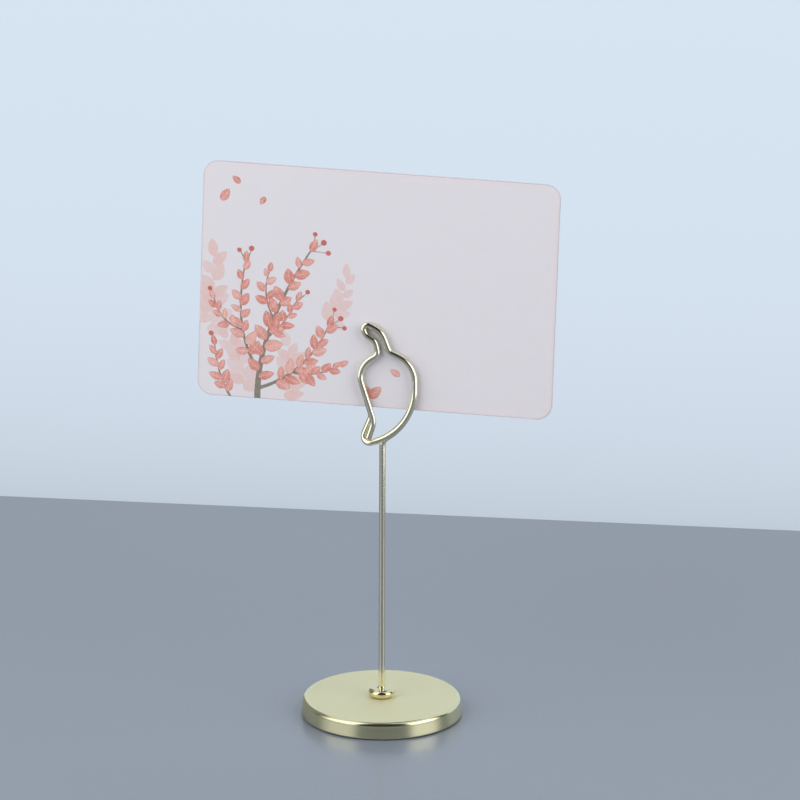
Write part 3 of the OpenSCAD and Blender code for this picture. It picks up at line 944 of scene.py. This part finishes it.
def soft_box(name, turn, rise, far, width, height, radiance):
    """A soft box aimed at the holder from a turn and rise in degrees. Its power is radiance x pi x
    area. Polished metal mirrors the white cards in its stead."""
    t, r = np.radians([turn, rise])
    out = np.array([np.sin(t) * np.cos(r), -np.cos(t) * np.cos(r), np.sin(r)])
    lamp = bpy.data.lights.new(name, "AREA")
    lamp.shape, lamp.size, lamp.size_y = "RECTANGLE", width, height
    lamp.energy = radiance * np.pi * width * height
    box = bpy.data.objects.new(name, lamp)
    box.location = LAMPS_AIM + out * far
    box.rotation_euler = Vector(out).to_track_quat("Z", "Y").to_euler()
    box.visible_glossy = False
    bpy.context.scene.collection.objects.link(box)
    print(name, "of", round(lamp.energy, 1), "W")


soft_box("box_left", -51, 32, 0.9, 1.05, 1.05, 2.9)
soft_box("box_right", 70, 32, 0.9, 0.95, 1.05, 2.55)
soft_box("box_behind", 168, 42, 0.95, 1.1, 0.9, 1.1)


# %% Screens that polished metal mirrors
SCREEN_STEPS = (40, 32)


def screen(name, turns, rises, place, material, soft=(0.15, 0.15, 0.1, 0.12)):
    """A bent screen that only polished things see: place(t, r) gives its points for turns t about the
    stem and rises r above the board, both in degrees. Its attribute middle is 1, and falls to 0 over
    the soft shares of the screen at its first side, its last side (more slowly near the foot), its
    foot and its top."""
    u, v = (np.linspace(0, 1, steps) for steps in SCREEN_STEPS)
    u, v = u[:, None], v[None, :]
    t = turns[0] + (turns[1] - turns[0]) * u
    top = rises[1](t) if callable(rises[1]) else rises[1]
    points = place(np.radians(t), np.radians(rises[0] + (top - rises[0]) * v))
    part = stage_mesh(name, points.reshape(-1, 3), grid_faces(*SCREEN_STEPS), material)
    sides = np.minimum(u / soft[0], (1 - u) / soft[1] * (0.55 + v))
    ends = np.minimum(v / soft[2], (1 - v) / soft[3])
    fade = np.clip(np.minimum(sides, ends), 0, 1).astype(np.float32)
    part.data.attributes.new("middle", "FLOAT", "POINT").data.foreach_set("value", fade.ravel())
    part.visible_camera = part.visible_diffuse = part.visible_shadow = False


def standing(far):
    """A sheet that stands on the board, bent round the stem: far (sin t, -cos t, tan r)."""
    return lambda t, r: far * np.stack(np.broadcast_arrays(np.sin(t), -np.cos(t), np.tan(r)), -1)


def overhead(far):
    """A part of a dome: far (sin t cos r, -cos t cos r, sin r)."""
    return lambda t, r: far * np.stack(
        np.broadcast_arrays(np.sin(t) * np.cos(r), -np.cos(t) * np.cos(r), np.sin(r)), -1)


def cloth_top(t):
    """How high the cloth reaches: a broad lap up over the set, with a narrower tongue in its middle."""
    return 48 + 74 * np.exp(-(t / 46) ** 4) + 12 * np.exp(-(t / 22) ** 2)


def glowing_screen_finish(name, at_edge, in_middle, strength, grain):
    """A cloth or card that glows with its own plain colours and is seen only in reflections: a painted
    reflection that fades from its middle colour to its edge colour, a painted fall-off of light,
    slightly uneven at the grain's scale.
    """
    material, tree = new_finish(name)
    place = add(tree, "TexCoord").outputs["Object"]
    nap = add(tree, "TexNoise", {"Vector": place, "Scale": grain})
    nap = add(tree, "MapRange", {"Value": nap, "To Min": 0.94, "To Max": 1.0})
    middle = add(tree, "Attribute", attribute_name="middle").outputs["Fac"]
    middle = add(tree, "Math", {0: middle, 1: nap}, operation="MULTIPLY")
    shade = add(tree, "Mix", {0: middle, 6: linear(at_edge), 7: linear(in_middle)}, data_type="RGBA")
    surface(tree, add(tree, "Emission", {"Color": shade, "Strength": strength}))
    return material


# These cards and the cloth glow by themselves and are no lamps: painted reflections of lit white cards,
# a grey card and a dark room. The white cards fade from white in the middle to dark at their edges, a
# painted fall-off of light
white_card = glowing_screen_finish("glowing_white_card", "#3A3A38", "#FFFFFF", 1.6, 20.0)
bright_card = glowing_screen_finish("brighter_glowing_white_card", "#3A3A38", "#FFFFFF", 2.2, 20.0)
black_cloth = glowing_screen_finish("dim_glowing_dark_cloth", "#5C5C5A", "#333230", 1.0, 300.0)
grey_card = glowing_screen_finish("grey_card", "#7A7A78", "#868684", 1.0, 20.0)
screen("tall_white_card", (-24, -91), (0.5, 78), standing(0.23), white_card, (0.15, 0.26, 0.07, 0.12))
screen("right_white_card", (44, 95), (0.5, 52), standing(0.17), bright_card)
screen("grey_card", (-98, -152), (0.3, 46), standing(0.6), grey_card)
screen("dark_cloth", (-132, 117), (0.3, cloth_top), overhead(0.9), black_cloth)

# %% [markdown]
# ## The view
#
# The view transform is Standard, so a colour shows as it is written.

# %% Colours as written
bpy.context.scene.view_settings.view_transform = "Standard"
